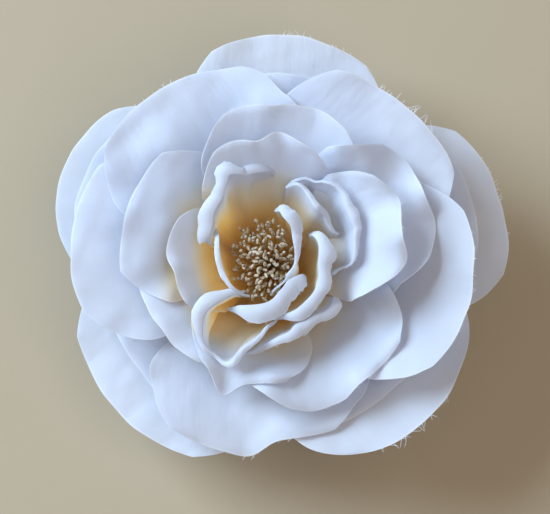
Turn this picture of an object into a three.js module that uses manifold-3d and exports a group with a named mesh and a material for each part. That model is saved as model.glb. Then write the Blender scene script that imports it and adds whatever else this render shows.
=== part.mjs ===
// A large open fabric flower on a sprung alligator hair clip.
// Millimetres, +Z along the flower's axis, the clip's lower lever lying flat on Z = 0.
import * as THREE from "three";
import { mergeVertices } from "three/addons/utils/BufferGeometryUtils.js";
import Module from "manifold-3d";

const wasm = await Module();
wasm.setup();
const DEG = Math.PI / 180;

// ---- Driving dimensions -------------------------------------------------------------------------
// The clip: two sheet-metal levers, a pin across them and a wire spring round the pin.
const SHEET = 0.8;
const CLIP_WIDTH = 8.6;
const TAIL_X = -25;
const JAW_TIP_X = 24;
const FLAT_END_X = 10;
const ARM_UNDERSIDE_Z = 8.9;
const PIN_X = -7;
const PIN_Z = 4.6;
const PIN_RADIUS = 1.0;
const PIN_HEAD_RADIUS = 1.6;
const EAR_RADIUS = 2.8;
const HOLE_RADIUS = 1.3;
const CLEARANCE = 0.3;
const OUTER_EAR_Y = CLIP_WIDTH / 2 - SHEET;
const INNER_EAR_Y = OUTER_EAR_Y - CLEARANCE - SHEET;
const WIRE = 0.7;
const COIL_RADIUS = 1.75;
const COIL_PITCH = 0.86;
const COIL_TURNS = 3;
const LEG_REACH = 12;

// The backing: a felt disc on the clip's upper arm, and a plastic centre that the petals go round.
const FELT_RADIUS = 20;
const FELT_THICK = 1.5;
const FELT_Z = ARM_UNDERSIDE_Z + SHEET + CLEARANCE;
const FLANGE_RADIUS = 9;
const FLANGE_THICK = 1.2;
const FLANGE_Z = FELT_Z + FELT_THICK + CLEARANCE;
const POST_RADIUS = 2.4;
const POST_TOP_Z = 22;

// The stamens: a bundle that fans out from a thread tie to a domed brush.
const NECK_RADIUS = 1.7;
const TIE_RADIUS = 2.6;
const TIE_HEIGHT = 2.0;
const BRUSH_RADIUS = 6.4;
const BRUSH_Z = 36;
const BRUSH_CROWN = 3;
const BUNDLE_Z = POST_TOP_Z + CLEARANCE;

// The petals: cut fabric, bent and cupped, each one resting on those made before it.
const FABRIC = 0.45;
const LAYER_GAP = 1.15;
const CLAW_WIDTH = 3.2;
const CLAW_SHARE = 0.12;
const WAIST = Math.SQRT1_2;
const WIDEST = 0.58;
const ROWS = 8;
const COLUMNS = 9;
const BEND_STEPS = 32;
const MARGIN = 1.1;
const STEEPEST = 0.4;
const APEX = new THREE.Vector3(0, 0, 90);

// Each round: base radius and height, slope at the base and at the tip, cupping of the sides, and its
// petals in the order they are laid down: [direction, length, width].
const ROUNDS = [
  { base: 3.2, height: 13.9, rise: 16, tip: -6, cup: 7, petals: [
    [158, 59, 52], [87, 62, 51], [-136, 53, 60], [17, 61, 54], [-48, 55, 62]] },
  { base: 3.2, height: 15.6, rise: 22, tip: -4, cup: 9, petals: [
    [-150, 42.5, 58], [144, 53.5, 52], [78, 51, 52], [18, 54, 52], [-44, 47.5, 56]] },
  { base: 3.2, height: 17.3, rise: 32, tip: 2, cup: 13, petals: [
    [-95, 48.5, 56], [47, 54, 54], [175, 52, 52], [-13, 53, 54], [122, 53.5, 56]] },
  { base: 3.3, height: 19.0, rise: 42, tip: 14, cup: 16, petals: [
    [-148, 38, 38], [163, 40.5, 42], [84, 42, 42], [20, 45, 44], [-60, 44, 45]] },
  { base: 3.4, height: 20.7, rise: 50, tip: 32, cup: 20, petals: [
    [-103, 38, 33], [188, 31, 29], [95, 35, 34], [9, 39, 35]] },
  { base: 3.6, height: 22.4, rise: 50, tip: 62, cup: 26, petals: [
    [-122, 32, 27], [140, 27, 26], [32, 28, 26], [-60, 30, 24]] },
  { base: 3.8, height: 24.2, rise: 50, tip: 70, cup: 24, petals: [
    [195, 21, 18], [-28, 24, 19], [50, 23, 17], [-78, 21, 17], [12, 20, 15]] },
];

// ---- Materials ----------------------------------------------------------------------------------
const material = (color, roughness, metalness = 0) =>
  new THREE.MeshStandardMaterial({ color, roughness, metalness });
const PETAL_FABRIC = () => material("#eeeef4", 0.7);
const STAMEN_FIBRE = () => material("#b99a68", 0.8);
const THREAD = () => material("#e8e0cc", 0.85);
const PLASTIC = () => material("#e9e6dc", 0.5);
const FELT = () => material("#f2f1ec", 0.95);
const NICKEL = () => material("#c9c9cc", 0.3, 1);
const SPRING_STEEL = () => material("#8f9094", 0.35, 1);

const flower = new THREE.Group();

function addPiece(name, geometry, surface) {
  const mesh = new THREE.Mesh(geometry, surface);
  mesh.name = name;
  flower.add(mesh);
  return mesh;
}

// ---- Solids -------------------------------------------------------------------------------------
function toSolid(geometry) {
  const bare = geometry.clone();
  bare.deleteAttribute("normal");
  bare.deleteAttribute("uv");
  const merged = mergeVertices(bare, 1e-4);
  return new wasm.Manifold(new wasm.Mesh({
    numProp: 3,
    vertProperties: Float32Array.from(merged.attributes.position.array),
    triVerts: Uint32Array.from(merged.index.array),
  }));
}

function toGeometry(solid) {
  const { vertProperties, triVerts } = solid.getMesh();
  const geometry = new THREE.BufferGeometry();
  geometry.setAttribute("position", new THREE.BufferAttribute(Float32Array.from(vertProperties), 3));
  geometry.setIndex(Array.from(triVerts));
  geometry.computeVertexNormals();
  return geometry;
}

const joined = (geometries) => toGeometry(geometries.map(toSolid).reduce((sum, next) => sum.add(next)));
const cut = (geometry, tools) =>
  toGeometry(tools.map(toSolid).reduce((rest, tool) => rest.subtract(tool), toSolid(geometry)));

function boxBetween([x0, x1], [y0, y1], [z0, z1]) {
  return new THREE.BoxGeometry(x1 - x0, y1 - y0, z1 - z0)
    .translate((x0 + x1) / 2, (y0 + y1) / 2, (z0 + z1) / 2);
}

// A side outline in X and Z, made into a plate between two Y positions.
function sidePlate(shape, y0, y1) {
  return new THREE.ExtrudeGeometry(shape, { depth: y1 - y0, bevelEnabled: false, curveSegments: 10 })
    .rotateX(Math.PI / 2)
    .translate(0, y1, 0);
}

const barAlongY = (radius, length) => new THREE.CylinderGeometry(radius, radius, length, 20);

// ---- The clip -----------------------------------------------------------------------------------
// An ear is a tab from a lever's sheet to a round end about the pin.
function ear(sheetZ, y0, y1) {
  const shape = new THREE.Shape();
  const upward = PIN_Z > sheetZ;
  shape.moveTo(PIN_X - EAR_RADIUS, sheetZ);
  shape.lineTo(PIN_X - EAR_RADIUS, PIN_Z);
  shape.absarc(PIN_X, PIN_Z, EAR_RADIUS, Math.PI, 0, upward);
  shape.lineTo(PIN_X + EAR_RADIUS, sheetZ);
  return sidePlate(shape, y0, y1);
}

function earPair(sheetZ, inner) {
  return [ear(sheetZ, inner, inner + SHEET), ear(sheetZ, -inner - SHEET, -inner)];
}

const pinHole = () => barAlongY(HOLE_RADIUS, CLIP_WIDTH * 2).translate(PIN_X, 0, PIN_Z);

function upperArm() {
  const plateTop = ARM_UNDERSIDE_Z + SHEET;
  const outline = new THREE.Shape();
  const half = CLIP_WIDTH / 2;
  const corner = 2.5;
  outline.moveTo(TAIL_X + corner, -half);
  outline.lineTo(JAW_TIP_X + 1 - corner, -half);
  outline.absarc(JAW_TIP_X + 1 - corner, -half + corner, corner, -Math.PI / 2, 0, false);
  outline.absarc(JAW_TIP_X + 1 - corner, half - corner, corner, 0, Math.PI / 2, false);
  outline.absarc(TAIL_X + corner, half - corner, corner, Math.PI / 2, Math.PI, false);
  outline.absarc(TAIL_X + corner, -half + corner, corner, Math.PI, 1.5 * Math.PI, false);
  const plate = new THREE.ExtrudeGeometry(outline, { depth: SHEET, bevelEnabled: false, curveSegments: 5 })
    .translate(0, 0, ARM_UNDERSIDE_Z);
  const ears = earPair((ARM_UNDERSIDE_Z + plateTop) / 2, OUTER_EAR_Y);
  return cut(joined([plate, ...ears]), [pinHole()]);
}

// The lower lever lies flat from its tail past the pin, then sweeps up to a toothed lip under the arm.
function lowerJaw() {
  const lipTop = ARM_UNDERSIDE_Z - CLEARANCE;
  const lipStart = JAW_TIP_X - 4;
  const sweep = (drop) => new THREE.CubicBezierCurve(
    new THREE.Vector2(FLAT_END_X + drop * 0.3, SHEET - drop), new THREE.Vector2(FLAT_END_X + 6, SHEET - drop),
    new THREE.Vector2(lipStart - 5 + drop * 0.5, lipTop - drop), new THREE.Vector2(lipStart, lipTop - drop));
  const profile = new THREE.Shape();
  profile.moveTo(TAIL_X, 0);
  profile.lineTo(FLAT_END_X + SHEET * 0.3, 0);
  for (const point of sweep(SHEET).getPoints(8)) profile.lineTo(point.x, point.y);
  profile.lineTo(JAW_TIP_X, lipTop - SHEET);
  profile.lineTo(JAW_TIP_X, lipTop);
  for (const point of sweep(0).getPoints(8).reverse()) profile.lineTo(point.x, point.y);
  profile.lineTo(TAIL_X, SHEET);
  const lever = sidePlate(profile, -CLIP_WIDTH / 2, CLIP_WIDTH / 2);
  const ears = earPair(SHEET / 2, INNER_EAR_Y);
  const teeth = 5;
  const pitch = CLIP_WIDTH / (2 * teeth - 1);
  const notches = Array.from({ length: teeth - 1 }, (_, i) => {
    const y = -CLIP_WIDTH / 2 + pitch * (2 * i + 1);
    return boxBetween([JAW_TIP_X - 1.6, JAW_TIP_X + 1], [y, y + pitch], [lipTop - 2, lipTop + 1]);
  });
  return cut(joined([lever, ...ears]), [pinHole(), ...notches]);
}

function hingePin() {
  const shank = CLIP_WIDTH / 2 + CLEARANCE;
  const head = shank + 0.6;
  const profile = [[0, -head], [PIN_HEAD_RADIUS, -head], [PIN_HEAD_RADIUS, -shank], [PIN_RADIUS, -shank],
    [PIN_RADIUS, shank], [PIN_HEAD_RADIUS, shank], [PIN_HEAD_RADIUS, head], [0, head]];
  return new THREE.LatheGeometry(profile.map(([r, y]) => new THREE.Vector2(r, y)), 20)
    .translate(PIN_X, 0, PIN_Z);
}

function wireAlong(points, steps) {
  const circle = new THREE.Shape().absarc(0, 0, WIRE / 2, 0, 2 * Math.PI, false);
  return new THREE.ExtrudeGeometry(circle, {
    extrudePath: new THREE.CatmullRomCurve3(points), steps, curveSegments: 3, bevelEnabled: false });
}

// The coil winds round the pin and runs out into a leg that lies under the upper arm.
function torsionSpring() {
  const points = [];
  const perTurn = 14;
  const from = -COIL_TURNS * COIL_PITCH / 2;
  const startAngle = -Math.PI / 2;
  for (let i = 0; i <= COIL_TURNS * perTurn + perTurn / 2; i++) {
    const turn = i / perTurn;
    const angle = startAngle + turn * 2 * Math.PI;
    points.push(new THREE.Vector3(PIN_X + COIL_RADIUS * Math.cos(angle), from + turn * COIL_PITCH,
      PIN_Z + COIL_RADIUS * Math.sin(angle)));
  }
  const end = points[points.length - 1];
  const legZ = ARM_UNDERSIDE_Z - CLEARANCE - WIRE / 2;
  points.push(new THREE.Vector3(PIN_X - 3, end.y, (end.z + legZ) / 2));
  points.push(new THREE.Vector3(PIN_X - 6.5, end.y, legZ));
  points.push(new THREE.Vector3(PIN_X - LEG_REACH, end.y, legZ));
  return wireAlong(points, 66);
}

// The spring's other leg, from the start of the coil along the lower lever, which carries it round.
function springLeg() {
  const y = -COIL_TURNS * COIL_PITCH / 2;
  const legZ = SHEET + CLEARANCE + WIRE / 2;
  const z = PIN_Z - COIL_RADIUS;
  return wireAlong([[PIN_X - WIRE / 2 - CLEARANCE, z], [PIN_X - 3, (z * 2 + legZ) / 3], [PIN_X - 6, legZ],
    [PIN_X - LEG_REACH, legZ]].map(([x, height]) => new THREE.Vector3(x, y, height)), 8);
}

// ---- The backing and the stamens ----------------------------------------------------------------
function turned(profile, segments) {
  return new THREE.LatheGeometry(profile.map(([r, z]) => new THREE.Vector2(r, z)), segments)
    .rotateX(Math.PI / 2);
}

const feltDisc = () => turned(
  [[0, FELT_Z], [FELT_RADIUS, FELT_Z], [FELT_RADIUS, FELT_Z + FELT_THICK], [0, FELT_Z + FELT_THICK]], 48);

function centrePost() {
  const flangeTop = FLANGE_Z + FLANGE_THICK;
  return turned([[0, FLANGE_Z], [FLANGE_RADIUS, FLANGE_Z], [FLANGE_RADIUS, flangeTop - 0.4],
    [FLANGE_RADIUS - 1, flangeTop], [POST_RADIUS, flangeTop], [POST_RADIUS, POST_TOP_Z], [0, POST_TOP_Z]], 24);
}

function stamenBundle() {
  const profile = [[0, BUNDLE_Z], [NECK_RADIUS, BUNDLE_Z], [NECK_RADIUS, BUNDLE_Z + TIE_HEIGHT]];
  profile.push([BRUSH_RADIUS * 0.42, (BUNDLE_Z + TIE_HEIGHT + BRUSH_Z) / 2], [BRUSH_RADIUS, BRUSH_Z]);
  for (let i = 1; i <= 5; i++) {
    const angle = (i / 5) * (Math.PI / 2);
    profile.push([i === 5 ? 0 : BRUSH_RADIUS * Math.cos(angle), BRUSH_Z + BRUSH_CROWN * Math.sin(angle)]);
  }
  return turned(profile, 20);
}

function stamenTie() {
  const inner = NECK_RADIUS + CLEARANCE;
  const middle = (inner + TIE_RADIUS) / 2;
  const low = BUNDLE_Z + 0.1;
  const high = BUNDLE_Z + TIE_HEIGHT - 0.4;
  return turned([[inner, low], [middle, low - 0.05], [TIE_RADIUS, low + 0.3], [TIE_RADIUS, high - 0.3],
    [middle, high + 0.05], [inner, high], [inner, low]], 20);
}

// ---- The petals ---------------------------------------------------------------------------------
// A square's point (a, b), each from -1 to 1, on the flat cut petal: across it, and along it from the
// claw. The square becomes a disc, and the disc's lower half is drawn in to the claw.
function flatPoint(a, b, length, width) {
  const across = a * Math.sqrt(1 - (b * b) / 2);
  const along = b * Math.sqrt(Math.max(0, 1 - (a * a) / 2));
  const middle = WIDEST * length;
  if (along >= 0) return [(across * width) / 2, middle + along * (length - middle)];
  const claw = CLAW_WIDTH / (WAIST * width);
  const depth = -along / WAIST;
  if (depth >= 1) {
    const left = Math.max(0, 1 - (depth - 1) / (1 / WAIST - 1));
    return [(across * width * claw) / 2, middle * CLAW_SHARE * left];
  }
  return [(across * width * (1 - (1 - claw) * depth ** 1.4)) / 2, middle * (1 - (1 - CLAW_SHARE) * depth)];
}

// The middle line's radius, height and slope at a distance along the petal.
function middleLine(distance, round, length) {
  const slopeAt = (d) => (round.rise + (round.tip - round.rise) * (d / length)) * DEG;
  const step = distance / BEND_STEPS;
  let radius = round.base;
  let height = round.height;
  for (let i = 0; i < BEND_STEPS; i++) {
    const slope = slopeAt((i + 0.5) * step);
    radius += step * Math.cos(slope);
    height += step * Math.sin(slope);
  }
  return { radius, height, slope: slopeAt(distance) };
}

function petalPoint(a, b, round, [direction, length, width]) {
  const [across, along] = flatPoint(a, b, length, width);
  const { radius, height, slope } = middleLine(along, round, length);
  const bend = width / 2 / (round.cup * DEG);
  const side = bend * Math.sin(across / bend);
  const lift = bend * (1 - Math.cos(across / bend));
  const point = new THREE.Vector3(radius - lift * Math.sin(slope), side, height + lift * Math.cos(slope));
  return point.applyAxisAngle(new THREE.Vector3(0, 0, 1), direction * DEG);
}

function petalGrid(round, petal, reach) {
  const grid = [];
  for (let i = 0; i <= ROWS; i++) {
    const row = [];
    for (let j = 0; j <= COLUMNS; j++) {
      const a = (-1 + (2 * j) / COLUMNS) * reach;
      const b = Math.max(-1, (-1 + (2 * i) / ROWS) * reach);
      row.push(petalPoint(a, b, round, petal));
    }
    grid.push(row);
  }
  return grid;
}

function gridTriangles(offset, flip) {
  const index = [];
  const at = (i, j) => offset + i * (COLUMNS + 1) + j;
  for (let i = 0; i < ROWS; i++) {
    for (let j = 0; j < COLUMNS; j++) {
      const [p, q, r, s] = [at(i, j), at(i, j + 1), at(i + 1, j + 1), at(i + 1, j)];
      index.push(...(flip ? [p, q, r, p, r, s] : [p, r, q, p, s, r]));
    }
  }
  return index;
}

function rimLoop() {
  const loop = [];
  for (let j = 0; j < COLUMNS; j++) loop.push([0, j]);
  for (let i = 0; i < ROWS; i++) loop.push([i, COLUMNS]);
  for (let j = COLUMNS; j > 0; j--) loop.push([ROWS, j]);
  for (let i = ROWS; i > 0; i--) loop.push([i, 0]);
  return loop.map(([i, j]) => i * (COLUMNS + 1) + j);
}

function surfaceOf(grid) {
  const geometry = new THREE.BufferGeometry().setFromPoints(grid.flat());
  geometry.setIndex(gridTriangles(0, true));
  geometry.computeVertexNormals();
  return geometry;
}

// A surface with the fabric's thickness: an upper and a lower skin, joined round the rim.
function thickened(grid) {
  const middle = surfaceOf(grid);
  const points = grid.flat();
  const normals = middle.attributes.normal;
  const skins = [1, -1].map((side) => points.map((point, i) =>
    point.clone().addScaledVector(new THREE.Vector3().fromBufferAttribute(normals, i), side * FABRIC / 2)));
  const index = [...gridTriangles(0, true), ...gridTriangles(points.length, false)];
  const loop = rimLoop();
  loop.forEach((upper, k) => {
    const next = loop[(k + 1) % loop.length];
    index.push(upper, upper + points.length, next, next, upper + points.length, next + points.length);
  });
  const geometry = new THREE.BufferGeometry().setFromPoints(skins.flat());
  geometry.setIndex(index);
  return geometry;
}

// How far a point has to move towards the apex to clear the petals laid before it by the layer gap,
// which is measured square to the lower petal.
function shortfall(point, laid) {
  const away = point.clone().sub(APEX);
  const distance = away.length();
  away.normalize();
  const [hit] = new THREE.Raycaster(APEX, away).intersectObjects(laid, false);
  if (!hit) return 0;
  const facing = Math.max(STEEPEST, Math.abs(hit.face.normal.dot(away)));
  return Math.max(0, distance - hit.distance + LAYER_GAP / facing);
}

// Lifts a petal clear of those beneath it, seen from the apex above the flower. Each point takes the
// most that it or a neighbour needs, so that the cells between them clear the lower petals too.
function settle(grid, laid) {
  const needs = grid.map((row) => row.map((point) => shortfall(point, laid)));
  grid.forEach((row, i) => row.forEach((point, j) => {
    const near = needs.slice(Math.max(0, i - 1), i + 2).flatMap((r) => r.slice(Math.max(0, j - 1), j + 2));
    point.addScaledVector(APEX.clone().sub(point).normalize(), Math.max(...near));
  }));
  return grid;
}

function addPetals() {
  const laid = [];
  ROUNDS.forEach((round, r) => round.petals.forEach((petal, p) => {
    const wide = settle(petalGrid(round, petal, MARGIN), laid);
    const grid = settle(petalGrid(round, petal, 1), laid);
    addPiece(`round${r + 1}_petal_${p + 1}`, thickened(grid), PETAL_FABRIC());
    laid.push(new THREE.Mesh(surfaceOf(wide), new THREE.MeshBasicMaterial({ side: THREE.DoubleSide })));
  }));
}

// ---- The assembly -------------------------------------------------------------------------------
addPiece("clip_lower_jaw", lowerJaw(), NICKEL());
addPiece("clip_upper_arm", upperArm(), NICKEL());
addPiece("hinge_pin", hingePin(), NICKEL());
addPiece("torsion_spring", torsionSpring(), SPRING_STEEL());
addPiece("torsion_spring_leg", springLeg(), SPRING_STEEL());
addPiece("felt_disc", feltDisc(), FELT());
addPiece("centre_post", centrePost(), PLASTIC());
addPiece("stamen_bundle", stamenBundle(), STAMEN_FIBRE());
addPiece("stamen_tie", stamenTie(), THREAD());
addPetals();

export default flower;
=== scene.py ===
"""A large open white fabric flower on a sprung alligator hair clip, seen from nearly above."""
import math

import bpy
import numpy as np
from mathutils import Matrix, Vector
from mathutils.bvhtree import BVHTree


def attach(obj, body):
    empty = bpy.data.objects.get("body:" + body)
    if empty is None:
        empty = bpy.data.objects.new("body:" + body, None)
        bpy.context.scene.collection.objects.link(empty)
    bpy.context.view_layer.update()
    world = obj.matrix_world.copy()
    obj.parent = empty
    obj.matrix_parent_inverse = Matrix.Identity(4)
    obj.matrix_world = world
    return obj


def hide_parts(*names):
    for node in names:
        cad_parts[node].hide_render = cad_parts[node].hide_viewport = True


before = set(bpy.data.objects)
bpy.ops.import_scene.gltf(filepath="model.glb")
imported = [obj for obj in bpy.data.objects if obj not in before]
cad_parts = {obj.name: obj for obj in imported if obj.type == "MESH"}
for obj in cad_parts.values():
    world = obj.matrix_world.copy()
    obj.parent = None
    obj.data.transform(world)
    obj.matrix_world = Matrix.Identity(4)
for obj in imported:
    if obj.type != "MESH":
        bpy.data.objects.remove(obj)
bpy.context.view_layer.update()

# Lengths below are in millimetres where a name or a table says so, and MM turns them into metres.
MM = 0.001
ROOT = "flower"          # the body that every petal, stamen and thread rides on

# ---- The petals' driving values, as in the CAD part -----------------------------------------------
FABRIC_MM = 0.22
LAYER_GAP_MM = 0.62
CLAW_WIDTH = 3.2
CLAW_SHARE = 0.12
CLAW_POWER = 1.4
WAIST = math.sqrt(0.5)
WIDEST = 0.58
APEX = Vector((0, 0, 90))
STEEPEST = 0.4
MARGIN = 1.06
ROWS, COLUMNS = 40, 40
LIP_ROWS = 8             # the last rows of an inner petal, which make its rolled lip


def petal(direction, length, width, **own):
    """A petal of a round: degrees and millimetres, with anything in which it differs from its round."""
    return {"direction": direction, "length": length, "width": width, **own}


# Each round of open petals, in millimetres and degrees: the claws' radius and height, the slope at
# the base and at the tip, the cupping of the sides, the outward roll of the rim and the width of
# cloth that rolls (`lip`), the height of the fine pleats near the rim, and the ruffles (height, how
# many, where they start). A petal may also lean to one side (`skew`) or have a squarer end.
ROUNDS = [
    dict(base=3.2, height=13.9, rise=16, tip=-6, cup=7, roll=5, lip=3, pleat=0.35,
         ruffle=(1.1, 2.0, 0.3), petals=[
             petal(158, 60, 52, skew=-7, square=0.05, ruffle=(0.8, 1.6, 1.0)),
             petal(85, 61, 56, tip=8, cup=12, ruffle=(1.1, 1.8, 2.0)),
             petal(-136, 53, 60, tip=-9),
             petal(17, 62, 54, rise=19, tip=-4),
             petal(-46, 59, 60, rise=18, tip=19, cup=18, roll=0, square=0, ruffle=(0.7, 1.5, 0.8))]),
    dict(base=3.2, height=15.6, rise=22, tip=-4, cup=9, roll=6, lip=3, pleat=0.35,
         ruffle=(1.1, 2.2, 1.3), petals=[
             petal(-150, 42.5, 60),
             petal(144, 53.5, 52),
             petal(78, 49.5, 52, tip=10, cup=14, ruffle=(1.4, 3.0, 0.5)),
             petal(18, 54, 52, tip=4, cup=16),
             petal(-44, 48, 58, tip=2, cup=14)]),
    dict(base=3.2, height=17.3, rise=32, tip=2, cup=14, roll=7, lip=3, pleat=0.4,
         ruffle=(1.0, 2.1, 0.9), petals=[
             petal(-95, 50, 58, rise=27, tip=-10, ruffle=(0.7, 1.7, 0.9)),
             petal(47, 54, 54, tip=10, cup=18),
             petal(175, 52, 52),
             petal(-13, 54.5, 56, rise=27, tip=22, cup=24, roll=0),
             petal(122, 53.5, 56)]),
    dict(base=3.3, height=19.0, rise=42, tip=14, cup=16, roll=14, lip=2.5, pleat=0.5,
         ruffle=(1.3, 3.0, 0.5), petals=[
             petal(-148, 36.5, 38),
             petal(163, 40.5, 42, square=0.3),
             petal(84, 43.5, 42, tip=36, cup=24, ruffle=(1.6, 4.0, 0.2)),
             petal(20, 44.6, 44, rise=38, tip=20, cup=20, pleat=0.75, ruffle=(1.9, 4.0, 1.4)),
             petal(-60, 43.4, 45, rise=35, tip=10, cup=22, pleat=0.7, ruffle=(1.9, 4.2, 0.6))]),
    dict(base=3.4, height=20.7, rise=50, tip=32, cup=20, roll=18, lip=2.5, pleat=0.45,
         ruffle=(1.3, 3.5, 0.0), petals=[
             petal(-103, 39, 33, tip=-14, rise=46, cup=10, ruffle=(0.4, 2.0, 0.0)),
             petal(188, 30.5, 29),
             petal(95, 37, 34, tip=50, ruffle=(1.4, 4.5, 0.7)),
             petal(9, 40.5, 35, pleat=0.75, ruffle=(1.5, 4.0, 2.0))]),
]

# The inner petals stand up round the stamens. Each has its flat size, the direction of its claw, how
# far its wall bows outwards, how far its lip rolls, how rough its folds are, and the points that its
# rim passes through, in order round the axis, with the lip's width at each.
BASE_6, BASE_7 = dict(base=3.8, height=22.4), dict(base=4.2, height=24.2)
CUPS = {
    "round6_petal_1": dict(BASE_6, flat=(40, 30), claw=-120, bow=6, roll=75, rim=[
        (-6.8, -10.7, 37, 0.5), (-8.9, -12.2, 40, 1.6), (-13.1, -14.3, 42, 2.3), (-16, -17.2, 42.5, 2.6),
        (-17, -21.4, 42, 2.6), (-17.5, -25.6, 40, 1.4), (-15, -28, 38.5, 0.6), (-12, -29.6, 38.5, 0.7),
        (-9.2, -28.7, 40, 1.2), (-4.5, -24.5, 41.5, 1.4), (-0.5, -20.3, 40, 1), (1.3, -18.5, 38, 0.5)]),
    "round6_petal_2": dict(BASE_6, flat=(32, 29), claw=140, rough=1.7, bow=4, roll=65, rim=[
        (0.8, 19.1, 40, 0.6), (-2.6, 19.1, 43, 1.8), (-5.8, 19.1, 44, 2.6), (-8.3, 18.9, 45, 2.2),
        (-10.7, 16.8, 45.5, 4), (-11.8, 13.5, 45, 2.6), (-13.6, 10.4, 44.5, 2.8), (-15.5, 7.1, 43.5, 3.3),
        (-16, 4, 42, 3.4), (-16.5, 1, 39, 1.8)]),
    "round6_petal_3": dict(BASE_6, flat=(38, 29), claw=30, rough=1.7, bow=5, roll=60, rim=[
        (15.7, -6.9, 36, 0.4), (16.8, -5.4, 38.5, 0.5), (19.1, -4.4, 40, 0.6), (21.4, -2.8, 41, 0.7),
        (22, -0.3, 42, 0.9), (21.4, 4.5, 43, 1.6), (20.8, 9, 44, 2), (18.8, 13.8, 44.5, 1.8),
        (14.7, 16.2, 44, 1), (10.5, 16.8, 43.5, 0.8), (6.6, 16.9, 42, 0.6), (3.4, 16.4, 39, 0.4)]),
    "round6_petal_4": dict(BASE_6, flat=(28, 30), claw=-60, bow=5, roll=60, rim=[
        (-6.3, -26.9, 37, 0.3), (-2.6, -25.9, 39.5, 1), (1.4, -24.2, 40.8, 1.6), (5, -22.5, 41, 2.2),
        (6.8, -20, 41, 3.2), (9.4, -18.7, 41, 2.8), (12.1, -17.5, 40.5, 2.2), (15.2, -15.5, 40, 2.6),
        (16.2, -12.5, 38, 1.5)]),
    "round7_petal_1": dict(BASE_7, flat=(22, 23), claw=195, bow=5, roll=60, rim=[
        (-13.9, 5.9, 39, 0.8), (-13.6, 2, 41.5, 1.3), (-13.6, -1.1, 42, 1.4), (-13.2, -4.1, 42, 1.3),
        (-12.1, -6.7, 41.5, 1.2), (-10, -9.5, 41, 1), (-7.3, -11.3, 39.5, 0.7), (-5.2, -11.5, 37, 0.4)]),
    "round7_petal_4": dict(BASE_7, flat=(26, 26), claw=-75, bow=6, roll=70, rim=[
        (-11, -15.5, 37, 0.3), (-8.4, -15.5, 40, 2.2), (-5.2, -15.6, 41.5, 3.8), (-2.1, -15.2, 42, 4.3),
        (0.5, -13.8, 42, 4.7), (2.4, -11.4, 42, 4.9), (4.5, -8.8, 41.5, 4.8), (7.1, -7.1, 40, 3.5),
        (8.4, -6.3, 37, 1)]),
    "round7_petal_2": dict(BASE_7, flat=(32, 27), claw=-25, bow=5, roll=70, rim=[
        (-0.5, -18.1, 36.5, 0.3), (1.6, -18.2, 39, 0.9), (4.7, -17.1, 41, 1.8), (7.9, -15.7, 42, 2.8),
        (10.2, -13.6, 42.5, 3.8), (11.3, -10.6, 43, 4.3), (11.6, -7, 43.5, 4.4), (11.9, -3, 44, 4.2),
        (12, 0, 43.5, 3.4), (10.8, 2.2, 42, 2), (9.4, 3.4, 39.5, 0.8)]),
    "round7_petal_5": dict(BASE_7, flat=(27, 22), claw=12, rough=1.7, bow=5, roll=65, rim=[
        (0.5, -11.8, 36, 0.3), (2.4, -9.7, 38.5, 0.3), (3.9, -7, 40, 0.4), (5.3, -4.5, 41, 0.5),
        (5.4, -2.2, 42, 1.4), (5, 0.6, 42.7, 2.8), (4.6, 3.5, 43, 3.3), (3.6, 6.6, 43, 3.1),
        (2.3, 9.1, 42, 2), (1, 10.6, 39.5, 0.5)]),
    "round7_petal_3": dict(BASE_7, flat=(20, 24), claw=50, rough=1.7, bow=4, roll=50, rim=[
        (17.5, 4.3, 38, 0.5), (15.5, 5.3, 41, 1), (13.7, 7.2, 43, 1.2), (11.4, 9.5, 44.3, 1.2),
        (9.8, 11.5, 44.6, 1.2), (8.2, 13.3, 44.2, 1), (6.2, 14.6, 43.6, 0.7), (3.7, 15.3, 41, 0.5)]),
}


# ---- Materials --------------------------------------------------------------------------------------
def new_look(name):
    """A material with its nodes, its links, and its Principled shader."""
    look = bpy.data.materials.new(name)
    look.use_nodes = True
    nodes = look.node_tree.nodes
    return look, nodes, look.node_tree.links, nodes["Principled BSDF"]


def place_on(nodes, output="Object"):
    """The place on the piece, in metres, or the cloth's own millimetres with output="UV"."""
    return nodes.new("ShaderNodeTexCoord").outputs[output]


def cloud(nodes, links, place, scale, detail=3):
    """Smooth noise from 0 to 1."""
    texture = nodes.new("ShaderNodeTexNoise")
    texture.inputs["Scale"].default_value = scale
    texture.inputs["Detail"].default_value = detail
    links.new(place, texture.inputs["Vector"])
    return texture.outputs["Fac"]


def stretched(nodes, links, place, scale):
    """The place, with each axis scaled."""
    mapping = nodes.new("ShaderNodeMapping")
    mapping.inputs["Scale"].default_value = scale
    links.new(place, mapping.inputs["Vector"])
    return mapping.outputs["Vector"]


def maths(nodes, links, operation, a, b=None):
    """One sum on numbers or sockets."""
    node = nodes.new("ShaderNodeMath")
    node.operation = operation
    for socket, value in zip(node.inputs, (a, b)):
        if isinstance(value, (int, float)):
            socket.default_value = value
        elif value is not None:
            links.new(value, socket)
    return node.outputs[0]


def remap(nodes, links, value, low, high, to_low, to_high):
    """A value carried smoothly from one range to another."""
    node = nodes.new("ShaderNodeMapRange")
    node.interpolation_type = "SMOOTHSTEP"
    for socket, number in zip(("From Min", "From Max", "To Min", "To Max"), (low, high, to_low, to_high)):
        node.inputs[socket].default_value = number
    links.new(value, node.inputs["Value"])
    return node.outputs["Result"]


def mixed(nodes, links, share, a, b):
    """Two colours mixed by a share, each a colour or a socket."""
    node = nodes.new("ShaderNodeMix")
    node.data_type = "RGBA"
    links.new(share, node.inputs["Factor"])
    for socket, value in ((node.inputs["A"], a), (node.inputs["B"], b)):
        if isinstance(value, tuple):
            socket.default_value = (*value, 1)
        else:
            links.new(value, socket)
    return node.outputs["Result"]


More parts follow.
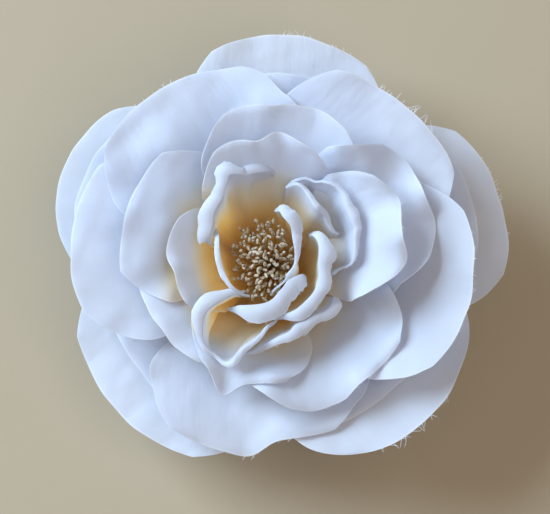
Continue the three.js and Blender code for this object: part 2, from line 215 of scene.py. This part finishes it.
def bumped(nodes, links, shader, height, distance, strength=1.0, under=None):
    """Bump from a height, over an earlier bump if one is given."""
    bump = nodes.new("ShaderNodeBump")
    bump.inputs["Distance"].default_value = distance
    bump.inputs["Strength"].default_value = strength
    links.new(height, bump.inputs["Height"])
    if under is not None:
        links.new(under, bump.inputs["Normal"])
    links.new(bump.outputs["Normal"], shader.inputs["Normal"])
    return bump.outputs["Normal"]


THROUGH_SHARE = 0.52


def petal_look():
    """Fine white satin-like cloth: a plain weave, light crinkles, a warm tint towards the heart that is
    partly dye and partly painted bounce light and shade, and a cut edge that is partly paler and partly a
    painted highlight.
    """
    look, nodes, links, shader = new_look("petal_cloth")
    place = place_on(nodes)
    flat = place_on(nodes, "UV")
    weave = []
    for axis in ("X", "Y"):
        bands = nodes.new("ShaderNodeTexWave")
        bands.bands_direction = axis
        bands.inputs["Scale"].default_value = 1.0
        bands.inputs["Distortion"].default_value = 0.6
        bands.inputs["Detail"].default_value = 1
        links.new(flat, bands.inputs["Vector"])
        weave.append(bands.outputs["Fac"])
    threads = maths(nodes, links, "ADD", *weave)
    crinkle = cloud(nodes, links, stretched(nodes, links, flat, (0.25, 0.05, 1)), 1.0, 3)
    soft = cloud(nodes, links, place, 60, 2)
    normal = bumped(nodes, links, shader, soft, 0.0012, 0.5)
    normal = bumped(nodes, links, shader, crinkle, 0.0008, 0.45, normal)
    bumped(nodes, links, shader, threads, 0.00004, 0.35, normal)
    # The warm tint is deepest near the claws, round the stamens. It is partly the cloth's own yellow dye,
    # and partly painted warm bounce light from the stamens and painted shade in the deep heart.
    claw = nodes.new("ShaderNodeAttribute")
    claw.attribute_name = "from_claw"
    away = nodes.new("ShaderNodeVectorMath")
    away.operation = "DISTANCE"
    links.new(stretched(nodes, links, place, (1, 1, 0)), away.inputs[0])
    away.inputs[1].default_value = (-0.006, -0.005, 0)
    uneven = maths(nodes, links, "MULTIPLY", maths(nodes, links, "SUBTRACT", soft, 0.5), 0.014)
    reach = maths(nodes, links, "ADD", away.outputs["Value"], uneven)
    near = remap(nodes, links, reach, 0.012, 0.030, 1.0, 0.0)
    low = remap(nodes, links, claw.outputs["Fac"], 0.5, 0.8, 1.0, 0.0)
    warm = maths(nodes, links, "MULTIPLY", near, low)
    white = mixed(nodes, links, soft, (0.80, 0.825, 0.90), (0.86, 0.88, 0.94))
    dye_and_bounce_colour = mixed(nodes, links, crinkle, (0.97, 0.70, 0.22), (1.0, 0.83, 0.46))
    colour = mixed(nodes, links, warm, white, dye_and_bounce_colour)
    # The cut edge is a little paler. This is partly its own frayed fibres, and partly a painted highlight
    # where the thin edge catches the light.
    edge = nodes.new("ShaderNodeAttribute")
    edge.attribute_name = "rim"
    pale_edge_and_highlight = remap(nodes, links, edge.outputs["Fac"], 0.985, 0.996, 0.0, 0.6)
    colour = mixed(nodes, links, pale_edge_and_highlight, colour, (0.96, 0.96, 0.97))
    links.new(colour, shader.inputs["Base Color"])
    links.new(remap(nodes, links, crinkle, 0.2, 0.8, 0.5, 0.75), shader.inputs["Roughness"])
    shader.inputs["Sheen Weight"].default_value = 0.35
    shader.inputs["Sheen Roughness"].default_value = 0.4
    shader.inputs["Specular IOR Level"].default_value = 0.3
    # About half of the light goes through the thin cloth.
    through = nodes.new("ShaderNodeBsdfTranslucent")
    links.new(colour, through.inputs["Color"])
    both = nodes.new("ShaderNodeMixShader")
    both.inputs["Fac"].default_value = THROUGH_SHARE
    links.new(shader.outputs["BSDF"], both.inputs[1])
    links.new(through.outputs["BSDF"], both.inputs[2])
    links.new(both.outputs["Shader"], nodes["Material Output"].inputs["Surface"])
    return look


def fibre_look(name, dark, light, scale, roughness=0.8, bump=0.00008):
    """Matte thread or moulded fibre, uneven in colour and surface."""
    look, nodes, links, shader = new_look(name)
    place = place_on(nodes)
    grain = cloud(nodes, links, place, scale, 4)
    share = remap(nodes, links, grain, 0.35, 0.65, 0, 1)
    links.new(mixed(nodes, links, share, dark, light), shader.inputs["Base Color"])
    matte = remap(nodes, links, grain, 0.2, 0.8, roughness - 0.1, roughness + 0.1)
    links.new(matte, shader.inputs["Roughness"])
    shader.inputs["Sheen Weight"].default_value = 0.2
    bumped(nodes, links, shader, grain, bump, 0.6)
    return look


def felt_look():
    """White wool felt: matted fibres and a slightly dusty surface."""
    look, nodes, links, shader = new_look("felt")
    place = place_on(nodes)
    mat = cloud(nodes, links, stretched(nodes, links, place, (1, 1, 0.3)), 900, 6)
    patch = cloud(nodes, links, place, 120, 3)
    colour = mixed(nodes, links, patch, (0.74, 0.73, 0.69), (0.86, 0.85, 0.82))
    dark = remap(nodes, links, mat, 0.3, 0.5, 0.25, 0.0)
    links.new(mixed(nodes, links, dark, colour, (0.5, 0.49, 0.46)), shader.inputs["Base Color"])
    links.new(remap(nodes, links, mat, 0.2, 0.8, 0.85, 1.0), shader.inputs["Roughness"])
    shader.inputs["Sheen Weight"].default_value = 0.5
    bumped(nodes, links, shader, mat, 0.0003, 0.8)
    return look


def plated_look(name, tint, drawn):
    """Plated steel: fine marks along the metal, faint smears, small differences in shine."""
    look, nodes, links, shader = new_look(name)
    place = place_on(nodes)
    marks = cloud(nodes, links, stretched(nodes, links, place, drawn), 500, 5)
    smear = cloud(nodes, links, place, 90, 3)
    dull = tuple(c * 0.8 for c in tint)
    links.new(mixed(nodes, links, smear, dull, tint), shader.inputs["Base Color"])
    shine = maths(nodes, links, "ADD", remap(nodes, links, smear, 0.3, 0.7, 0.16, 0.3),
                  remap(nodes, links, marks, 0.3, 0.7, 0.0, 0.14))
    links.new(shine, shader.inputs["Roughness"])
    shader.inputs["Metallic"].default_value = 1.0
    bumped(nodes, links, shader, marks, 0.00002, 0.35)
    return look


def plastic_look():
    """Off-white moulded plastic, slightly dulled."""
    look, nodes, links, shader = new_look("plastic")
    place = place_on(nodes)
    grain = cloud(nodes, links, place, 700, 3)
    patch = cloud(nodes, links, place, 80, 2)
    colour = mixed(nodes, links, patch, (0.76, 0.73, 0.66), (0.84, 0.82, 0.76))
    links.new(colour, shader.inputs["Base Color"])
    links.new(remap(nodes, links, grain, 0.3, 0.7, 0.4, 0.6), shader.inputs["Roughness"])
    bumped(nodes, links, shader, grain, 0.00004, 0.4)
    return look


def floor_look():
    """A plain pale table top."""
    look, nodes, links, shader = new_look("floor")
    patch = cloud(nodes, links, place_on(nodes), 9, 3)
    colour = mixed(nodes, links, patch, (0.42, 0.335, 0.225), (0.47, 0.38, 0.27))
    links.new(colour, shader.inputs["Base Color"])
    links.new(remap(nodes, links, patch, 0.3, 0.7, 0.85, 0.95), shader.inputs["Roughness"])
    shader.inputs["Specular IOR Level"].default_value = 0.15
    return look


PETAL_LOOK = petal_look()
FRAY_LOOK = fibre_look("loose_thread", (0.84, 0.85, 0.90), (0.92, 0.92, 0.94), 2000)


# ---- Petal shape ------------------------------------------------------------------------------------
def flat_points(a, b, length, width, square, seed):
    """A square's points on the flat cut petal: across it, and along it from the claw."""
    upper = np.clip(b * 1.5, 0, 1)
    curve = 0.5 * (1 - square * upper)
    across = a * np.sqrt(1 - b * b * curve)
    along = b * np.sqrt(np.clip(1 - a * a * curve, 0, None))
    round_rim = np.arctan2(a, b + 0.3)
    uneven = np.sin(3 * round_rim + seed * 1.7) + 0.8 * np.sin(5 * round_rim + seed * 2.9)
    uneven = uneven + 0.35 * np.sin(11 * round_rim + seed * 0.7) + 0.3 * np.sin(17 * round_rim + seed * 1.3)
    uneven = 1 + 0.011 * uneven * np.maximum(np.abs(a), np.abs(b)) ** 3
    across = across * uneven
    along = np.where(b > 0, along * uneven, along)
    middle = WIDEST * length
    claw = CLAW_WIDTH / (WAIST * width)
    depth = np.clip(-along / WAIST, 0, None)
    narrow = 1 - (1 - claw) * np.clip(depth, 0, 1) ** CLAW_POWER
    left = np.clip(1 - (depth - 1) / (1 / WAIST - 1), 0, 1)
    below = np.where(depth < 1, middle * (1 - (1 - CLAW_SHARE) * depth), middle * CLAW_SHARE * left)
    x = across * width / 2 * narrow
    y = np.where(along >= 0, middle + along * (length - middle), below)
    return x, y


def square_grid(reach):
    """Even points over a square that the petal is shaped from."""
    a, b = np.meshgrid(np.linspace(-reach, reach, COLUMNS + 1), np.linspace(-reach, reach, ROWS + 1))
    return a, np.maximum(b, -1)


def crumple(x, y, height, seed):
    """Gentle uneven waves a few millimetres long over the flat cloth."""
    rng = np.random.default_rng(int(seed) + 500)
    total = 0 * x
    for length in (17, 13, 10, 7.5, 5.5):
        heading, start = rng.uniform(0, 2 * math.pi, 2)
        along = (x * math.cos(heading) + y * math.sin(heading)) * 2 * math.pi / length
        total = total + height * (length / 12) * np.sin(along + start + np.sin(along * 0.31))
    return total


def petal_points(form, reach=1.0):
    """A petal's middle surface as a grid of points in millimetres."""
    length, width = form["length"], form["width"]
    a, b = square_grid(reach)
    x, y = flat_points(a, b, length, width, form.get("square", 0.15), form["direction"])
    x = x + form.get("skew", 0) * (y / length) ** 2
    rim = np.maximum(np.abs(a), np.abs(b))
    from_rim = (1 - rim) * width / 2
    upper = np.clip((b + 0.35) / 0.6, 0, 1)
    angle = np.arctan2(a, b + 0.6)
    # The rim rolls outwards over the last few millimetres.
    height, count, start = form["ruffle"]
    turn = math.radians(form["roll"]) * upper * (1 + 0.5 * np.sin(count * 1.7 * angle + start * 2))
    t = np.clip(1 - from_rim / form["lip"], 0, 1.3) ** 2
    drop = form["lip"] * 0.5 * np.sin(turn) * t
    # Ruffles, finer pleats and a light crumple bend the cloth, most at the rim.
    ruffles = height * upper * np.clip(rim, 0, 1.1) ** 3 * np.sin(count * 2 * angle + start)
    pleats = np.sin(9 * angle + form["direction"]) + 0.6 * np.sin(16 * angle + form["direction"] * 2)
    folds = form["pleat"] * upper * np.clip(rim, 0, 1.1) ** 2.5 * pleats
    ruffles = ruffles + folds + crumple(x, y, 0.075, form["direction"]) * np.clip(rim * 1.4 - 0.2, 0, 1)
    # Along the middle line the slope runs from rise to tip.
    distance = np.linspace(0, length * 1.15, 200)
    slope = np.radians(form["rise"] + (form["tip"] - form["rise"]) * distance / length)
    step = distance[1]
    radius = form["base"] + np.concatenate([[0], np.cumsum(np.cos((slope[1:] + slope[:-1]) / 2) * step)])
    rise = form["height"] + np.concatenate([[0], np.cumsum(np.sin((slope[1:] + slope[:-1]) / 2) * step)])
    r, z, s = (np.interp(y, distance, values) for values in (radius, rise, slope))
    bend = width / 2 / math.radians(form["cup"])
    side = bend * np.sin(x / bend)
    lift = bend * (1 - np.cos(x / bend)) + ruffles - drop
    px, py, pz = r - lift * np.sin(s), side, z + lift * np.cos(s)
    c, d = math.cos(math.radians(form["direction"])), math.sin(math.radians(form["direction"]))
    return np.stack([px * c - py * d, px * d + py * c, pz], axis=-1)


def curve_through(points, count):
    """A smooth curve through a few points, as evenly numbered points along it."""
    p = np.array(points, float)
    ends = np.vstack([2 * p[0] - p[1], p, 2 * p[-1] - p[-2]])
    t = np.linspace(0, len(p) - 1 - 1e-9, count)
    i = t.astype(int)
    f = (t - i)[:, None]
    a, b, c, d = (ends[i + k] for k in range(4))
    return 0.5 * (2 * b + (c - a) * f + (2 * a - 5 * b + 4 * c - d) * f**2 + (3 * b - a - 3 * c + d) * f**3)


def unit(v):
    """Vectors at length 1."""
    return v / np.maximum(np.linalg.norm(v, axis=-1, keepdims=True), 1e-9)


def cup_points(form):
    """An inner petal's middle surface: a wall from its claw up to its rim, then the rolled lip."""
    line = curve_through(form["rim"], COLUMNS + 1)
    rim, lip = line[:, :3], np.maximum(line[:, 3:], 0.2)
    length = np.linalg.norm(np.diff(rim, axis=0, prepend=rim[:1]), axis=1).cumsum()
    seed = form["claw"] + form["base"] * 10
    rough = form.get("rough", 1)
    rim = rim + np.stack([crumple(length, 0 * length, 0.2 * rough, seed + k) for k in (1, 2, 3)], axis=1)
    ragged = np.random.default_rng(int(seed) + 900).normal(0, 0.03, COLUMNS + 1)
    lip = lip * (1 + crumple(length, 0 * length, 0.13, seed + 4) + ragged)[:, None]
    # The lip's edge waves up and down, and the wall under it is pleated.
    wave = crumple(length * 1.6, 0 * length, 0.16, seed + 5)[:, None] * np.minimum(lip, 1)
    pleat = crumple(length * 1.3, 0 * length, 0.28 * rough, seed + 6)[:, None]
    v = np.linspace(0, 1, COLUMNS + 1)[:, None]
    half = math.degrees(CLAW_WIDTH / 2 / form["base"])
    angle = np.radians(form["claw"] + (v * 2 - 1) * half)
    claw = np.hstack([form["base"] * np.cos(angle), form["base"] * np.sin(angle), 0 * v + form["height"]])
    out = unit(np.hstack([rim[:, :2], 0 * v]))
    knee = claw * 0.45 + rim * 0.55 + out * form["bow"] - np.array([0, 0, form["bow"] * 0.9])
    u = np.linspace(0, 1, ROWS - LIP_ROWS + 1)[:, None, None]
    wall = claw * (1 - u) ** 2 + knee * 2 * u * (1 - u) + rim * u**2
    wall = wall + out * pleat * 4 * u**2 * (1 - u)
    outward = unit(np.cross(unit(np.gradient(rim, axis=0)), [0, 0, 1]))
    t = np.linspace(0, 1, LIP_ROWS + 1)[1:, None, None]
    over = np.sin(math.pi * t) * 0.1 - t * t * math.sin(math.radians(form["roll"])) * 0.24
    rolled = rim + lip * (t * outward + over * np.array([0, 0, 1])) + t * wave * np.array([0, 0, 1])
    return np.concatenate([wall, rolled])


def quads(rows, columns, width):
    """Faces between neighbouring points of a grid."""
    i, j = np.meshgrid(np.arange(rows), np.arange(columns), indexing="ij")
    p = (i * width + j).ravel()
    return np.stack([p, p + 1, p + width + 1, p + width], axis=1)


def tree_of(points):
    """A petal's surface, ready to be hit by rays."""
    rows, columns = points.shape[0] - 1, points.shape[1] - 1
    faces = quads(rows, columns, columns + 1)
    return BVHTree.FromPolygons(points.reshape(-1, 3).tolist(), faces.tolist())


def spread(values, times):
    """The largest value within a few cells, then evened out."""
    def shifted(v):
        padded = np.pad(v, 1, mode="edge")
        rows, columns = v.shape
        return [padded[i:i + rows, j:j + columns] for i in range(3) for j in range(3)]
    most = values
    for _ in range(times):
        most = np.max(shifted(most), axis=0)
    for _ in range(times * 2):
        most = np.maximum(np.mean(shifted(most), axis=0), values)
    return most


def settle(points, laid, gap):
    """Lifts a petal towards the apex, clear of the petals beneath it."""
    need = np.zeros(points.shape[:2])
    for i in range(points.shape[0]):
        for j in range(points.shape[1]):
            away = Vector(points[i, j]) - APEX
            distance = away.length
            away.normalize()
            for tree in laid:
                hit, normal, _, far = tree.ray_cast(APEX, away)
                if hit is None:
                    continue
                facing = max(STEEPEST, abs(normal.dot(away)))
                need[i, j] = max(need[i, j], distance - far + gap / facing)
    need = spread(need, 3)
    towards = np.array(APEX) - points
    towards /= np.linalg.norm(towards, axis=-1, keepdims=True)
    return points + towards * need[..., None]


def cloth(name, points):
    """A grid of points as cloth with a thickness. Its UVs are millimetres along the cloth."""
    mesh = bpy.data.meshes.new(name)
    faces = quads(points.shape[0] - 1, points.shape[1] - 1, points.shape[1])
    mesh.from_pydata((points.reshape(-1, 3) * MM).tolist(), [], faces.tolist())
    mesh.shade_smooth()
    across = np.linalg.norm(np.diff(points, axis=1, prepend=points[:, :1]), axis=2).cumsum(axis=1)
    along = np.linalg.norm(np.diff(points, axis=0, prepend=points[:1]), axis=2).cumsum(axis=0)
    flat = np.stack([across - across[:, -1:] / 2, along], axis=-1).reshape(-1, 2)
    layer = mesh.uv_layers.new(name="cloth")
    layer.data.foreach_set("uv", flat[faces.ravel()].astype(np.float32).ravel())
    rows, columns = points.shape[:2]
    v, u = np.meshgrid(np.linspace(-1, 1, columns), np.linspace(0, 1, rows))
    rim = mesh.attributes.new("rim", "FLOAT", "POINT")
    rim.data.foreach_set("value", np.maximum(np.abs(v), u).astype(np.float32).ravel())
    from_claw = mesh.attributes.new("from_claw", "FLOAT", "POINT")
    from_claw.data.foreach_set("value", u.astype(np.float32).ravel())
    piece = bpy.data.objects.new(name, mesh)
    bpy.context.scene.collection.objects.link(piece)
    thick = piece.modifiers.new("cloth", "SOLIDIFY")
    thick.thickness = FABRIC_MM * MM
    thick.offset = 0
    mesh.materials.append(PETAL_LOOK)
    # The thickness is applied so that the cut edge can be kept sharp.
    made = piece.evaluated_get(bpy.context.evaluated_depsgraph_get())
    solid = bpy.data.meshes.new_from_object(made)
    piece.modifiers.clear()
    piece.data = solid
    solid.set_sharp_from_angle(angle=math.radians(50))
    return piece


# Where threads have come loose from a cut rim: how many, how long, from and to which share of the rim.
FRAYS = {
    "round3_petal_2": (26, 2.6, 0.25, 0.75), "round1_petal_5": (20, 2.8, 0.15, 0.7),
    "round3_petal_4": (18, 1.2, 0.2, 0.9), "round4_petal_5": (18, 1.0, 0.2, 0.9),
    "round5_petal_4": (16, 1.0, 0.2, 0.8), "round1_petal_2": (16, 1.6, 0.1, 0.6),
    "round3_petal_5": (16, 1.1, 0.2, 0.8), "round2_petal_4": (14, 1.4, 0.3, 0.8),
    "round1_petal_4": (18, 1.4, 0.2, 0.8), "round3_petal_1": (16, 1.1, 0.2, 0.8),
    "round6_petal_2": (12, 0.8, 0.2, 0.8), "round6_petal_3": (16, 0.9, 0.1, 0.7),
    "round6_petal_4": (18, 0.9, 0.1, 0.9), "round7_petal_2": (12, 0.7, 0.2, 0.8),
    "round7_petal_4": (16, 0.7, 0.1, 0.9),
}


def make_fray(name, points):
    """Loose threads along a petal's far rim."""
    number, most, first, last = FRAYS[name]
    rng = np.random.default_rng(number * 31 + int(most * 100))
    vertices, faces = [], []
    columns = points.shape[1] - 1
    for _ in range(number):
        j = int(columns * rng.uniform(first, last))
        foot = points[-1, j]
        out = unit(foot - points[-4, j])
        side = unit(points[-1, min(j + 1, columns)] - points[-1, max(j - 1, 0)])
        length = most * rng.uniform(0.25, 1) ** 1.5
        lean, droop = rng.normal(0, 0.55), rng.normal(0.1, 0.2)
        t = np.linspace(0, 1, 6)[:, None]
        bend = side * (lean * t + rng.normal(0, 0.25) * t * t) + np.array([0, 0, droop]) * t * t
        line = foot + (out * (t * 1.06 - 0.06) + bend) * length
        add_tube(vertices, faces, tube(line, np.linspace(0.05, 0.025, 6), 5))
    fray = mesh_piece(f"{name}_fray", vertices, faces, ROOT, "petal_fabric")
    fray.data.materials.append(FRAY_LOOK)
    return fray


def declare_petal(piece, name, points):
    """Puts a petal on the flower's body, hides its CAD node, and adds any loose threads it has."""
    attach(piece, ROOT)
    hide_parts(name)
    loose = [make_fray(name, points)] if name in FRAYS else []


def make_petals():
    """Every petal, from the lowest round up; each open one settles on those already laid."""
    laid = []
    for r, form in enumerate(ROUNDS, 1):
        common = {key: value for key, value in form.items() if key != "petals"}
        for p, own in enumerate(form["petals"], 1):
            whole = {**common, **own}
            wide = settle(petal_points(whole, MARGIN), laid, LAYER_GAP_MM)
            points = settle(petal_points(whole), laid, LAYER_GAP_MM)
            piece = cloth(f"round{r}_petal_{p}_cloth", points)
            declare_petal(piece, f"round{r}_petal_{p}", points)
            laid.append(tree_of(wide))
    for name, form in CUPS.items():
        points = cup_points(form)
        piece = cloth(f"{name}_cloth", points)
        declare_petal(piece, name, points)


# ---- Stamens ----------------------------------------------------------------------------------------
STAMENS = 160
STAMEN_CENTRE = (-2.3, -1.8)
STAMEN_SPREAD = (8.0, 10.6)
STAMEN_TOP = 38.5
STAMEN_FOOT = 22.5
THREAD_RADIUS = 0.16
TIP_HALF_LENGTH, TIP_RADIUS = 0.95, 0.41


def tube(points, radius, sides=6):
    """Rings round a line of points."""
    along = unit(np.gradient(points, axis=0))
    side = unit(np.cross(along, [0.3, 0.9, 0.1]))
    other = np.cross(along, side)
    a = np.linspace(0, 2 * math.pi, sides, endpoint=False)
    ring = np.cos(a)[None, :, None] * side[:, None] + np.sin(a)[None, :, None] * other[:, None]
    return points[:, None] + ring * np.reshape(radius, (-1, 1, 1))


def add_tube(vertices, faces, rings):
    """Adds a closed tube, given as rings in millimetres, to a mesh's lists."""
    rows, sides = rings.shape[:2]
    first = len(vertices)
    vertices.extend(map(tuple, rings.reshape(-1, 3) * MM))
    for i in range(rows - 1):
        for j in range(sides):
            k = (j + 1) % sides
            a, b = first + i * sides, first + (i + 1) * sides
            faces.append((a + j, a + k, b + k, b + j))
    faces.append(tuple(range(first + sides - 1, first - 1, -1)))
    faces.append(tuple(range(first + (rows - 1) * sides, first + rows * sides)))


def mesh_piece(name, vertices, faces, body, slot):
    """A smooth piece that rides on a body; the slot is not used."""
    mesh = bpy.data.meshes.new(name)
    mesh.from_pydata(vertices, [], faces)
    mesh.shade_smooth()
    piece = bpy.data.objects.new(name, mesh)
    bpy.context.scene.collection.objects.link(piece)
    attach(piece, body)
    return piece


def make_stamens():
    """Threads that fan out from the tie, evenly spread over the brush, each with its own tip."""
    rng = np.random.default_rng(7)
    threads, tips = ([], []), ([], [])
    for i in range(STAMENS):
        share = math.sqrt((i + 0.5) / STAMENS)
        angle = i * math.pi * (3 - math.sqrt(5)) + rng.normal(0, 0.15)
        spread = share + rng.normal(0, 0.03)
        x = STAMEN_CENTRE[0] + STAMEN_SPREAD[0] * spread * math.cos(angle)
        y = STAMEN_CENTRE[1] + STAMEN_SPREAD[1] * spread * math.sin(angle)
        z = STAMEN_TOP - 3.2 * spread**2 + rng.normal(0, 0.7)
        foot = np.array([1.3 * spread * math.cos(angle), 1.3 * spread * math.sin(angle), STAMEN_FOOT])
        head = np.array([x, y, z])
        knee = foot * 0.45 + head * 0.55 + np.array([0.14 * x, 0.14 * y, 1.5]) + rng.normal(0, 0.3, 3)
        u = np.linspace(0, 1, 9)[:, None]
        line = foot * (1 - u) ** 2 + knee * 2 * u * (1 - u) + head * u**2
        add_tube(*threads, tube(line, np.full(9, THREAD_RADIUS)))
        lean = unit(unit(head - knee) + rng.normal(0, 0.8, 3))
        size = rng.uniform(0.85, 1.15)
        t = np.linspace(-1, 1, 9)
        grain = head + lean * t[:, None] * TIP_HALF_LENGTH * size
        add_tube(*tips, tube(grain, TIP_RADIUS * size * np.sqrt(np.clip(1 - t**2, 0.03, 1)), 8))
    gold = fibre_look("stamen_thread", (0.62, 0.33, 0.04), (0.88, 0.58, 0.13), 1500)
    stems = mesh_piece("stamen_threads", *threads, ROOT, "stamens")
    stems.data.materials.append(gold)
    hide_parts("stamen_bundle")
    grains = mesh_piece("stamen_tips", *tips, ROOT, "stamens")
    grains.data.materials.append(fibre_look("stamen_tip", (0.27, 0.19, 0.11), (0.66, 0.55, 0.41), 900))


def make_tie():
    """Thread wound round the bundle's neck."""
    turns, radius, lowest, height, steps = 6.5, 2.35, 22.75, 1.35, 260
    a = np.linspace(0, 2 * math.pi * turns, steps)
    z = lowest + height * np.linspace(0, 1, steps)
    wobble = radius + 0.12 * np.sin(a * 0.37)
    line = np.stack([wobble * np.cos(a), wobble * np.sin(a), z], axis=1)
    vertices, faces = [], []
    add_tube(vertices, faces, tube(line, np.full(steps, 0.17), 8))
    tie = mesh_piece("stamen_tie_thread", vertices, faces, ROOT, "thread")
    tie.data.materials.append(fibre_look("tie_thread", (0.72, 0.66, 0.52), (0.86, 0.81, 0.68), 3000))
    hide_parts("stamen_tie")


def dress_cad_pieces():
    """Materials for the pieces that the CAD already shapes in full."""
    nickel = plated_look("nickel_plate", (0.74, 0.73, 0.71), (0.05, 1, 1))
    wire = plated_look("spring_wire", (0.50, 0.50, 0.51), (1, 1, 1))
    looks = {"clip_lower_jaw": nickel, "clip_upper_arm": nickel, "hinge_pin": nickel,
             "torsion_spring": wire, "torsion_spring_leg": wire,
             "felt_disc": felt_look(), "centre_post": plastic_look()}
    for name, look in looks.items():
        mesh = bpy.data.objects[name].data
        mesh.materials.clear()
        mesh.materials.append(look)


make_petals()
make_stamens()
make_tie()
dress_cad_pieces()


# ---- Stage ------------------------------------------------------------------------------------------
def make_stage():
    """The table top that the clip lies on."""
    bpy.ops.mesh.primitive_plane_add(size=3)
    floor = bpy.context.object
    floor.name = "floor"
    floor.data.materials.append(floor_look())


ELEVATION = 76           # degrees above the table
DISTANCE = 0.5
FRAMED_WIDTH = 0.144     # how much of the scene the picture is wide, at the flower
SENSOR_MM = 36
AIM = Vector((0.001, 0, 0.03))


def make_camera():
    """A long lens, from nearly straight above."""
    data = bpy.data.cameras.new("camera")
    data.sensor_width = SENSOR_MM
    data.lens = SENSOR_MM * DISTANCE / FRAMED_WIDTH
    camera = bpy.data.objects.new("camera", data)
    bpy.context.scene.collection.objects.link(camera)
    e = math.radians(ELEVATION)
    back = Vector((0, -math.cos(e), math.sin(e)))
    camera.location = AIM + back * DISTANCE
    camera.rotation_euler = (-back).to_track_quat("-Z", "Y").to_euler()
    bpy.context.scene.camera = camera


def lamp(name, place, size, power, colour):
    """A soft square lamp turned to the flower."""
    data = bpy.data.lights.new(name, "AREA")
    data.size, data.energy, data.color = size, power, colour
    light = bpy.data.objects.new(name, data)
    light.location = place
    light.rotation_euler = (LAMP_AIM - Vector(place)).to_track_quat("-Z", "Y").to_euler()
    bpy.context.scene.collection.objects.link(light)


LAMP_AIM = Vector((0, 0, 0.02))


def make_lights():
    """Cool soft light from the upper left, a weak one from the near right, and a dim warm sky."""
    lamp("key", (-1.14, 0.60, 0.80), 1.0, 47.5, (0.585, 0.785, 1))
    lamp("fill", (0.35, -0.3, 0.85), 0.8, 2.8, (0.95, 0.92, 0.9))
    world = bpy.data.worlds.new("world")
    world.use_nodes = True
    sky = world.node_tree.nodes["Background"]
    sky.inputs["Color"].default_value = (1.0, 0.90, 0.80, 1)
    sky.inputs["Strength"].default_value = 0.3
    bpy.context.scene.world = world


make_stage()
make_camera()
make_lights()
bpy.context.scene.view_settings.view_transform = "Standard"
